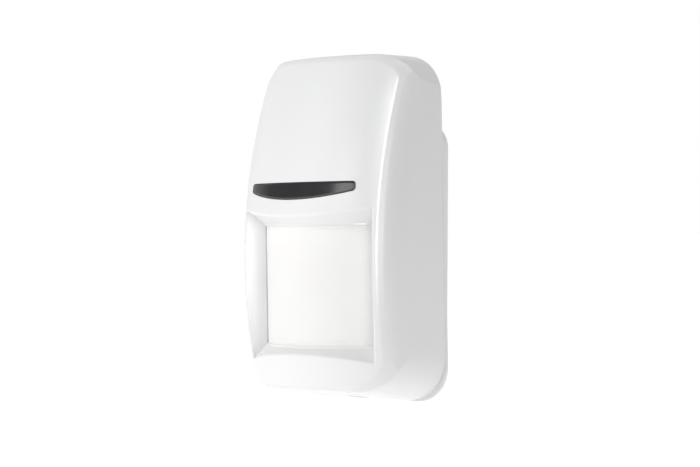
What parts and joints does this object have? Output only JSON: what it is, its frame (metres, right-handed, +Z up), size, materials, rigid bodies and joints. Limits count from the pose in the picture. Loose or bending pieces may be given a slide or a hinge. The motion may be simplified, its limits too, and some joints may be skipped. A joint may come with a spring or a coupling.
{
  "type": "motion sensor",
  "caption": "Wall-mounted passive infrared motion sensor with a bowed front, recessed curved lens and smile-shaped indicator window; the cover hinges up over its circuit board.",
  "frame": {"origin": "centre of the base's wall face, on the wall plane", "axes": "+X to the right seen from the room, +Y into the wall, +Z up"},
  "size_m": [0.0664, 0.0454, 0.117],
  "materials": {
    "white_housing": "gloss",
    "smoked_plastic": "gloss",
    "lens_film": "satin",
    "white_matte": "matte",
    "clear_guide": "clear",
    "steel": "plated",
    "grey_rubber": "matte",
    "board_green": "solder mask",
    "nickel": "plated",
    "dark_window": "polished",
    "black_foam": "foam",
    "lamp_red": "clear",
    "terminal_green": "satin",
    "brass": "plated",
    "black_plastic": "matte",
    "relay_white": "matte",
    "capacitor_sleeve": "sleeve",
    "ceramic": "matte",
    "trimmer_blue": "matte",
    "jumper_blue": "matte"
  },
  "bodies": {
    "base": {"rear_base": "white_housing", "cable_bung": "grey_rubber", "circuit_board": "board_green", "board_screws": "steel", "pyro_can": "nickel", "pyro_window": "dark_window", "pyro_gasket": "black_foam", "status_leds": "lamp_red", "terminal_block": "terminal_green", "terminal_clamps": "brass", "tamper_body": "black_plastic", "tamper_spring": "steel", "alarm_relay": "relay_white", "microcontroller": "black_plastic", "amplifier_chip": "black_plastic", "capacitors": "capacitor_sleeve", "small_parts": "ceramic", "jumper_base": "black_plastic", "jumper_pins": "brass", "trimmer_body": "trimmer_blue"},
    "cover": {"front_cover": "white_housing", "indicator_window": "smoked_plastic", "fresnel_lens": "lens_film", "lens_retainer": "white_matte", "light_guide": "clear_guide"},
    "cover_screw": {"cover_screw": "steel"},
    "tamper_plunger": {"tamper_plunger": "white_matte"},
    "trimmer_rotor": {"trimmer_rotor": "white_matte"},
    "terminal_screw_1": {"terminal_screw_1": "steel"},
    "terminal_screw_2": {"terminal_screw_2": "steel"},
    "terminal_screw_3": {"terminal_screw_3": "steel"},
    "terminal_screw_4": {"terminal_screw_4": "steel"},
    "terminal_screw_5": {"terminal_screw_5": "steel"},
    "terminal_screw_6": {"terminal_screw_6": "steel"},
    "terminal_screw_7": {"terminal_screw_7": "steel"},
    "terminal_screw_8": {"terminal_screw_8": "steel"},
    "jumper_cap_1": {"jumper_cap_1": "jumper_blue"},
    "jumper_cap_2": {"jumper_cap_2": "jumper_blue"},
    "jumper_cap_3": {"jumper_cap_3": "jumper_blue"}
  },
  "joints": [
    {"name": "cover_hinge", "type": "hinge", "parent": "base", "child": "cover", "pos_m": [0, -0.0074, 0.0544], "axis": [-1, 0, 0], "range_deg": [0, 70]},
    {"name": "cover_screw_slide", "type": "slide", "parent": "cover", "child": "cover_screw", "axis": [0, 0, 1], "range_m": [0, 0.003]},
    {"name": "tamper_travel", "type": "slide", "parent": "base", "child": "tamper_plunger", "axis": [0, -1, 0], "range_m": [0, 0.001], "deforming": ["tamper_spring"]},
    {"name": "trimmer_turn", "type": "hinge", "parent": "base", "child": "trimmer_rotor", "pos_m": [0.014, -0.012, 0.012], "axis": [0, -1, 0], "range_deg": [-135, 135]},
    {"name": "terminal_screw_1_turn", "type": "hinge", "parent": "base", "child": "terminal_screw_1", "pos_m": [-0.0175, -0.015, 0.037], "axis": [0, 1, 0], "continuous": true},
    {"name": "terminal_screw_2_turn", "type": "hinge", "parent": "base", "child": "terminal_screw_2", "pos_m": [-0.0125, -0.015, 0.037], "axis": [0, 1, 0], "continuous": true},
    {"name": "terminal_screw_3_turn", "type": "hinge", "parent": "base", "child": "terminal_screw_3", "pos_m": [-0.0075, -0.015, 0.037], "axis": [0, 1, 0], "continuous": true},
    {"name": "terminal_screw_4_turn", "type": "hinge", "parent": "base", "child": "terminal_screw_4", "pos_m": [-0.0025, -0.015, 0.037], "axis": [0, 1, 0], "continuous": true},
    {"name": "terminal_screw_5_turn", "type": "hinge", "parent": "base", "child": "terminal_screw_5", "pos_m": [0.0025, -0.015, 0.037], "axis": [0, 1, 0], "continuous": true},
    {"name": "terminal_screw_6_turn", "type": "hinge", "parent": "base", "child": "terminal_screw_6", "pos_m": [0.0075, -0.015, 0.037], "axis": [0, 1, 0], "continuous": true},
    {"name": "terminal_screw_7_turn", "type": "hinge", "parent": "base", "child": "terminal_screw_7", "pos_m": [0.0125, -0.015, 0.037], "axis": [0, 1, 0], "continuous": true},
    {"name": "terminal_screw_8_turn", "type": "hinge", "parent": "base", "child": "terminal_screw_8", "pos_m": [0.0175, -0.015, 0.037], "axis": [0, 1, 0], "continuous": true},
    {"name": "jumper_cap_1_pull", "type": "slide", "parent": "base", "child": "jumper_cap_1", "axis": [0, -1, 0], "range_m": [0, 0.0065]},
    {"name": "jumper_cap_2_pull", "type": "slide", "parent": "base", "child": "jumper_cap_2", "axis": [0, -1, 0], "range_m": [0, 0.0065]},
    {"name": "jumper_cap_3_pull", "type": "slide", "parent": "base", "child": "jumper_cap_3", "axis": [0, -1, 0], "range_m": [0, 0.0065]}
  ],
  "couplings": [
    {"joint": "tamper_travel", "follows": "cover_hinge", "m_per_rad": 0.0008185}
  ]
}
